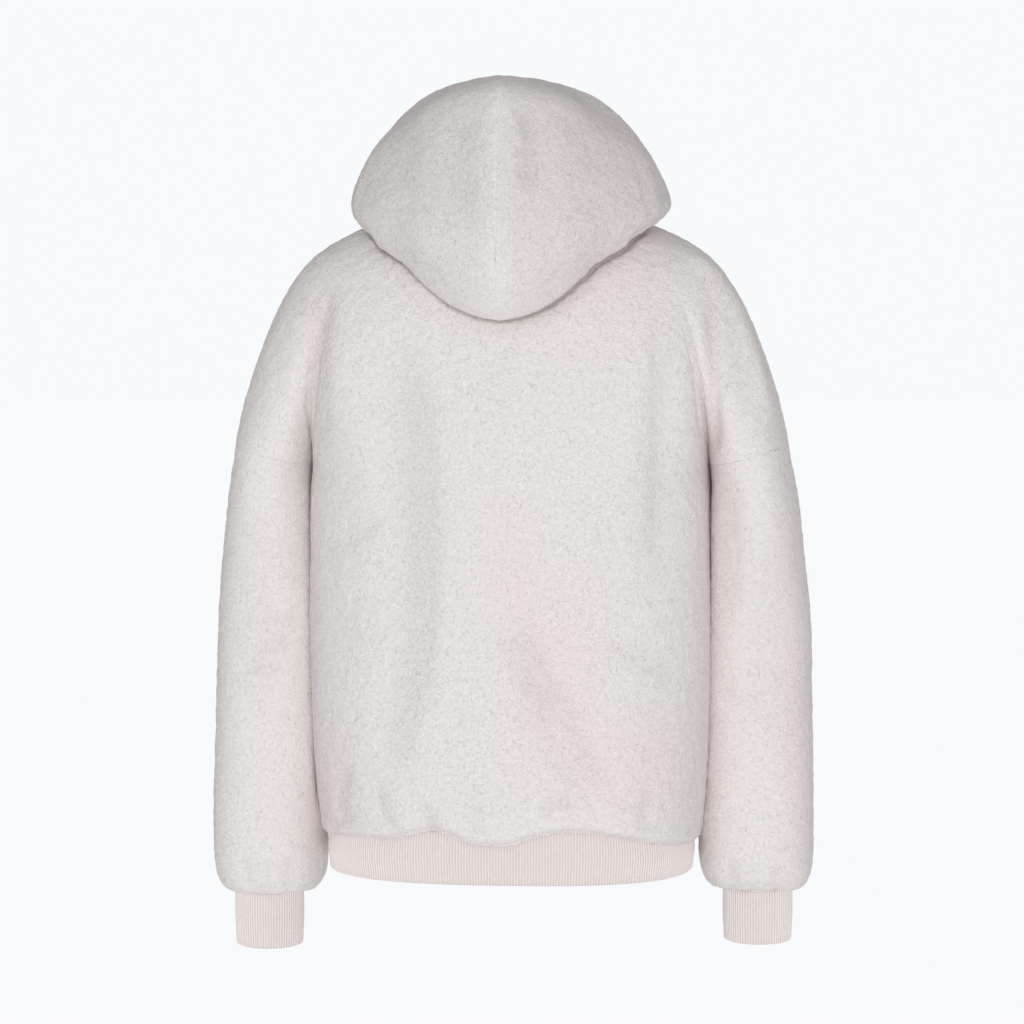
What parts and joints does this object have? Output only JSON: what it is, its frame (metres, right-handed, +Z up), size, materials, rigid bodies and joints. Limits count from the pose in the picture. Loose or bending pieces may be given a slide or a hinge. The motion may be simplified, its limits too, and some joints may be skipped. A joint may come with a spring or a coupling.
{
  "type": "zip-up hoodie",
  "caption": "Pale curly-fleece zip-up hoodie with a soft hood, dropped shoulders and rib knit cuffs and hem, hollow and filled out as if worn.",
  "frame": {"origin": "where the wearer's shoulders hold it: on the centre plane, level with the neck ends of the shoulder line, over the shoulder seams", "axes": "+Z up, -Y out of the zip's side (the wearer faces -Y), +X to the wearer's left"},
  "size_m": [0.605, 0.3326, 0.8593],
  "materials": {
    "curly_pile_fleece": "short dense curly pile, off-white with a faint pink tint",
    "cotton_rib_knit": "matt one-by-one rib knit",
    "woven_zip_tape": "matt herringbone tape",
    "moulded_resin_teeth": "satin moulded resin",
    "painted_zinc_slider": "satin paint over die-cast zinc"
  },
  "bodies": {
    "hoodie": {"back": "curly_pile_fleece", "front_left": "curly_pile_fleece", "front_right": "curly_pile_fleece", "sleeve_left": "curly_pile_fleece", "sleeve_right": "curly_pile_fleece", "hood_left": "curly_pile_fleece", "hood_right": "curly_pile_fleece", "cuff_left": "cotton_rib_knit", "cuff_right": "cotton_rib_knit", "hem_rib": "cotton_rib_knit", "zip_tape_left": "woven_zip_tape", "zip_tape_right": "woven_zip_tape", "zip_chain": "moulded_resin_teeth", "zip_box": "moulded_resin_teeth", "zip_slider": "painted_zinc_slider"},
    "pull": {"zip_pull": "painted_zinc_slider"}
  },
  "joints": [
    {"name": "pull_swing", "type": "hinge", "parent": "hoodie", "child": "pull", "pos_m": [0, -0.09593, -0.07516], "axis": [-1, 0, 0], "range_deg": [0, 140]}
  ]
}
